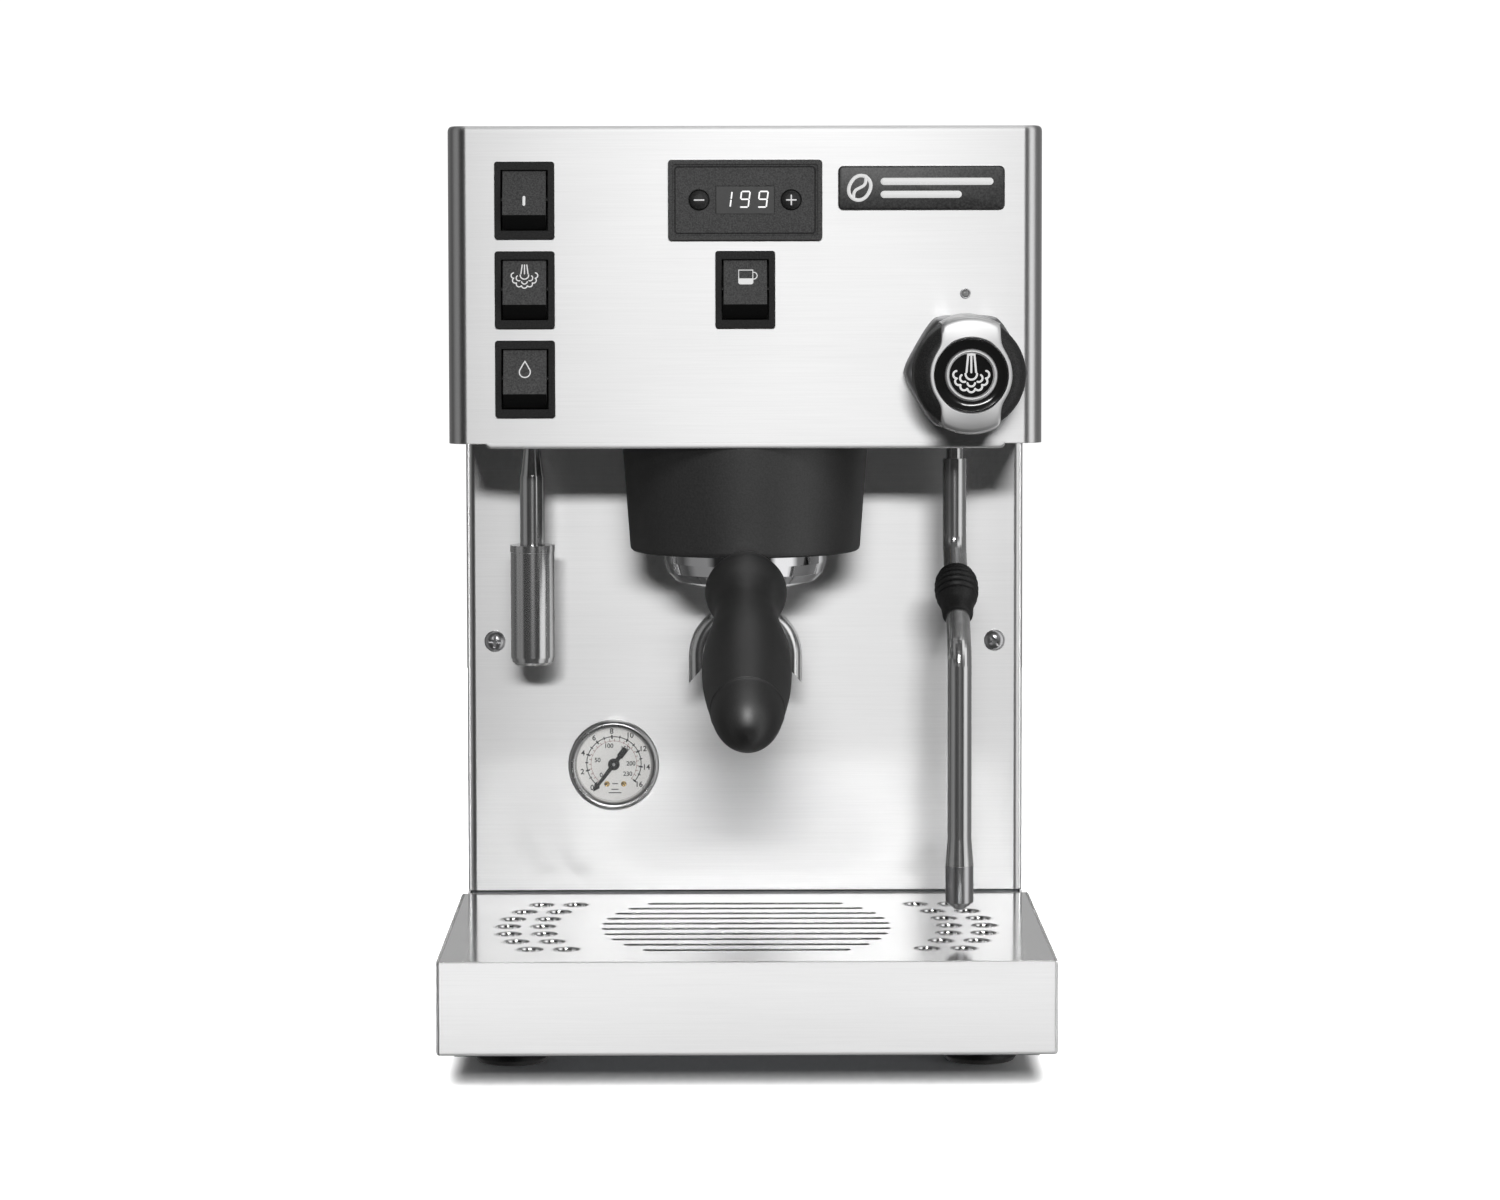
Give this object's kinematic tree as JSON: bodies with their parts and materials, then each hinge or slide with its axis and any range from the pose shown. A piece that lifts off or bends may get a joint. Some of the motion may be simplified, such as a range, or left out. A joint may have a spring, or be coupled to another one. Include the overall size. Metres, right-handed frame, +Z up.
{
  "type": "espresso machine",
  "caption": "Counter-top espresso machine: boxy brushed-steel body, portafilter with sloping handle, steam wand with knob, hot water outlet, pressure gauge and slotted drip tray.",
  "frame": {"origin": "on the counter, under the middle of the box that holds the machine and its portafilter handle", "axes": "+Z up, +Y from the user towards the back, +X to the user's right"},
  "size_m": [0.25, 0.5, 0.39],
  "materials": {
    "brushed_sheet": "fine brushed grain, horizontal on the panels",
    "polished_sheet": "polished, mirror-like",
    "chrome": "bright plated",
    "satin_steel": "satin",
    "zinc_sheet": "zinc-plated grey",
    "black_skirt": "finely grained black",
    "black_switch": "grained black",
    "black_handle": "satin black",
    "black_gloss": "gloss black",
    "black_rubber": "matt",
    "white_nylon": "natural",
    "brass": "satin",
    "copper": "drawn copper tube",
    "boiler_steel": "welded stainless",
    "tank_plastic": "clear, slightly smoky",
    "hose_plastic": "translucent silicone",
    "dark_plastic": "moulded",
    "gauge_dial": "printed dial",
    "clear_glass": "clear",
    "display_lens": "grey filter",
    "lamp_lens": "unlit lens"
  },
  "bodies": {
    "machine": {"base_pan": "zinc_sheet", "feet": "black_rubber", "inner_frame": "zinc_sheet", "side_panel_left": "brushed_sheet", "side_panel_right": "brushed_sheet", "rear_panel": "brushed_sheet", "panel_screws": "chrome", "splash_panel": "brushed_sheet", "head_panel": "brushed_sheet", "head_floor": "satin_steel", "mains_inlet": "dark_plastic", "steam_boiler": "boiler_steel", "brew_boiler": "brass", "boiler_heaters": "dark_plastic", "boiler_valves": "brass", "group_head": "chrome", "group_gasket": "black_rubber", "shower_screen": "satin_steel", "group_cover": "black_skirt", "pump": "dark_plastic", "steam_valve": "brass", "ball_nut": "chrome", "outlet_pipe": "chrome", "outlet_nozzle": "chrome", "control_box": "dark_plastic", "copper_pipes": "copper", "tank_hose": "hose_plastic", "gauge_body": "gauge_dial", "gauge_bezel": "chrome", "gauge_glass": "clear_glass", "switch_frames": "black_switch", "display_bezel": "black_switch", "display_window": "display_lens", "badge_plate": "black_gloss", "indicator_lamp": "lamp_lens"},
    "portafilter": {"portafilter_body": "chrome", "filter_basket": "satin_steel", "double_spout": "chrome", "portafilter_handle": "black_handle", "handle_end_cap": "black_handle"},
    "steam_knob": {"steam_spindle": "satin_steel", "knob_body": "black_switch", "knob_bridge": "chrome", "knob_badge": "black_gloss"},
    "wand_swivel": {"wand_seat": "white_nylon"},
    "steam_wand": {"wand_tube": "chrome", "wand_grip": "black_rubber", "steam_tip": "satin_steel"},
    "power_switch": {"power_rocker": "black_switch"},
    "steam_switch": {"steam_rocker": "black_switch"},
    "water_switch": {"water_rocker": "black_switch"},
    "brew_switch": {"brew_rocker": "black_switch"},
    "minus_key": {"minus_button": "black_switch"},
    "plus_key": {"plus_button": "black_switch"},
    "needle": {"gauge_needle": "black_gloss"},
    "tray": {"drip_tray": "brushed_sheet"},
    "grate": {"drip_grate": "polished_sheet"},
    "warmer": {"cup_tray": "brushed_sheet"},
    "tank": {"water_tank": "tank_plastic"},
    "tank_lid": {"tank_cover": "brushed_sheet"}
  },
  "joints": [
    {"name": "portafilter_turn", "type": "hinge", "parent": "machine", "child": "portafilter", "pos_m": [0, -0.059, 0.22], "axis": [0, 0, 1], "range_deg": [-55, 0]},
    {"name": "steam_knob_turn", "type": "hinge", "parent": "machine", "child": "steam_knob", "pos_m": [0.0905, -0.112, 0.289], "axis": [0, -1, 0], "range_deg": [0, 540]},
    {"name": "wand_swing", "type": "hinge", "parent": "machine", "child": "wand_swivel", "pos_m": [0.089, -0.059, 0.262], "axis": [0, 0, 1], "range_deg": [-20, 75]},
    {"name": "wand_tilt", "type": "hinge", "parent": "wand_swivel", "child": "steam_wand", "pos_m": [0.089, -0.059, 0.262], "axis": [-1, 0, 0], "range_deg": [0, 32]},
    {"name": "power_rocker_tip", "type": "hinge", "parent": "machine", "child": "power_switch", "pos_m": [-0.0906, -0.11, 0.3595], "axis": [1, 0, 0], "range_deg": [0, 14]},
    {"name": "steam_rocker_tip", "type": "hinge", "parent": "machine", "child": "steam_switch", "pos_m": [-0.0906, -0.11, 0.3228], "axis": [1, 0, 0], "range_deg": [0, 14]},
    {"name": "water_rocker_tip", "type": "hinge", "parent": "machine", "child": "water_switch", "pos_m": [-0.0906, -0.11, 0.2861], "axis": [1, 0, 0], "range_deg": [0, 14]},
    {"name": "brew_rocker_tip", "type": "hinge", "parent": "machine", "child": "brew_switch", "pos_m": [0, -0.11, 0.3228], "axis": [1, 0, 0], "range_deg": [0, 14]},
    {"name": "minus_key_press", "type": "slide", "parent": "machine", "child": "minus_key", "axis": [0, 1, 0], "range_m": [0, 0.0008], "stiffness_N_per_m": 300},
    {"name": "plus_key_press", "type": "slide", "parent": "machine", "child": "plus_key", "axis": [0, 1, 0], "range_m": [0, 0.0008], "stiffness_N_per_m": 300},
    {"name": "needle_swing", "type": "hinge", "parent": "machine", "child": "needle", "pos_m": [-0.0579, 0.002, 0.1112], "axis": [0, 1, 0], "range_deg": [0, 273]},
    {"name": "tray_slide", "type": "slide", "parent": "machine", "child": "tray", "axis": [0, -1, 0], "range_m": [0, 0.18]},
    {"name": "grate_lift", "type": "slide", "parent": "tray", "child": "grate", "axis": [0, 0, 1], "range_m": [0, 0.008]},
    {"name": "warmer_lift", "type": "slide", "parent": "machine", "child": "warmer", "axis": [0, 0, 1], "range_m": [0, 0.06]},
    {"name": "tank_lift", "type": "slide", "parent": "machine", "child": "tank", "axis": [0, 0, 1], "range_m": [0, 0.22]},
    {"name": "tank_lid_lift", "type": "slide", "parent": "tank", "child": "tank_lid", "axis": [0, 0, 1], "range_m": [0, 0.06]}
  ]
}
